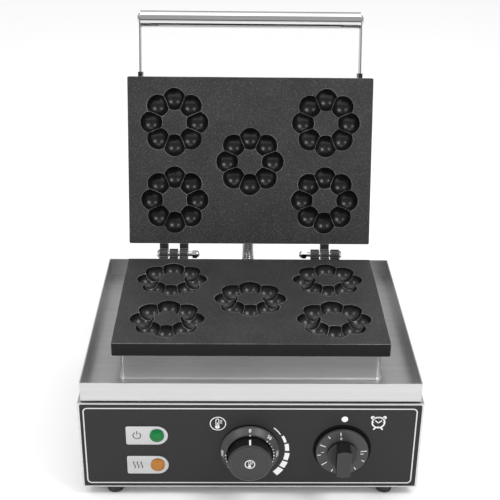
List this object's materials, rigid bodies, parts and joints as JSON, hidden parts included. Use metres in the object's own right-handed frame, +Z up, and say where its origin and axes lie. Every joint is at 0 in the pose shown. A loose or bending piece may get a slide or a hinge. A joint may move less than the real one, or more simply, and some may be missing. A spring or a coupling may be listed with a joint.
{
  "type": "donut maker",
  "caption": "Table-top electric baking iron that closes two hinged, non-stick plates of ball-ring moulds over a drip tray, with temperature and timer knobs.",
  "frame": {"origin": "on the table under the machine, at the middle of its overall width and depth with the lid open", "axes": "+Z up, +X to the cook's right, front panel towards -Y, hinges towards +Y"},
  "size_m": [0.368, 0.4, 0.4532],
  "materials": {
    "brushed_sheet": "brushed stainless sheet",
    "silver_panel": "satin stainless sheet",
    "black_overlay": "matte black printed sheet",
    "non_stick": "cast aluminium with a speckled dark grey non-stick coating",
    "heater_sheath": "dull heat-tinted tube",
    "zinc_plate": "zinc plated",
    "mineral_wool": "pressed mineral wool",
    "bright_fasteners": "bright plated",
    "hinge_steel": "oiled steel",
    "black_rubber": "matte rubber",
    "red_silicone": "silicone rubber",
    "copper_tube": "drawn copper",
    "brass_stud": "turned brass",
    "switch_housing": "moulded phenolic",
    "timer_housing": "moulded nylon",
    "knob_black": "fine-textured moulded plastic",
    "scale_grey": "satin grey moulded plastic",
    "label_metal": "satin printed foil",
    "green_lens": "clear coloured polycarbonate",
    "amber_lens": "clear coloured polycarbonate",
    "lamp_housing": "moulded nylon",
    "black_nylon": "moulded nylon",
    "brown_wire": "silicone insulation",
    "blue_wire": "silicone insulation",
    "earth_wire_green": "green and yellow silicone insulation",
    "glass_braid": "braided glass-fibre sleeve",
    "conduit_steel": "corrugated stainless hose",
    "switch_shaft": "turned steel",
    "bar_chrome": "polished tube"
  },
  "bodies": {
    "base": {"body_shell": "brushed_sheet", "front_panel": "silver_panel", "panel_overlay": "black_overlay", "bottom_plate": "brushed_sheet", "bottom_screws": "bright_fasteners", "rubber_feet": "black_rubber", "foot_screws": "bright_fasteners", "drip_tray": "brushed_sheet", "tray_grommets": "red_silicone", "plate_skirt": "brushed_sheet", "lower_plate": "non_stick", "lower_heater": "heater_sheath", "lower_clamp_plate": "zinc_plate", "lower_insulation": "mineral_wool", "lower_pillars": "zinc_plate", "pillar_screws": "bright_fasteners", "thermostat_sensor": "copper_tube", "thermostat_body": "switch_housing", "timer_body": "timer_housing", "switch_screws": "bright_fasteners", "temperature_bezel": "scale_grey", "power_label": "label_metal", "heat_label": "label_metal", "power_lens": "green_lens", "heat_lens": "amber_lens", "lamp_bodies": "lamp_housing", "inlet_gland": "black_nylon", "inlet_nut": "black_nylon", "terminal_block": "lamp_housing", "earth_stud": "brass_stud", "live_wires": "brown_wire", "neutral_wires": "blue_wire", "earth_wire": "earth_wire_green", "body_gland": "bright_fasteners", "conduit": "conduit_steel", "right_hinge_bolt": "hinge_steel", "right_cap_nut": "bright_fasteners"},
    "lid": {"upper_plate": "non_stick", "upper_cover": "brushed_sheet", "upper_heater": "heater_sheath", "upper_clamp_plate": "zinc_plate", "upper_insulation": "mineral_wool", "cover_screws": "bright_fasteners", "lid_gland": "bright_fasteners", "lid_leads": "glass_braid", "left_hinge_bolt": "hinge_steel", "left_cap_nut": "bright_fasteners", "left_handle_arm": "brushed_sheet", "right_handle_arm": "brushed_sheet", "left_handle_clip": "black_nylon", "right_handle_clip": "black_nylon", "clip_screws": "bright_fasteners", "handle_bar": "bar_chrome", "bar_plugs": "zinc_plate", "handle_bolts": "bright_fasteners"},
    "temperature_knob": {"temperature_grip": "knob_black", "thermostat_shaft": "switch_shaft"},
    "timer_knob": {"timer_dial": "scale_grey", "timer_grip": "knob_black", "timer_shaft": "switch_shaft"}
  },
  "joints": [
    {"name": "lid_hinge", "type": "hinge", "parent": "base", "child": "lid", "pos_m": [0, 0.08196, 0.174], "axis": [1, 0, 0], "range_deg": [0, 105.7], "deforming": ["conduit"]},
    {"name": "temperature_knob_turn", "type": "hinge", "parent": "base", "child": "temperature_knob", "pos_m": [-0.001, -0.18504, 0.062], "axis": [0, 1, 0], "range_deg": [0, 270]},
    {"name": "timer_knob_turn", "type": "hinge", "parent": "base", "child": "timer_knob", "pos_m": [0.099, -0.18504, 0.062], "axis": [0, 1, 0], "range_deg": [0, 280]}
  ]
}
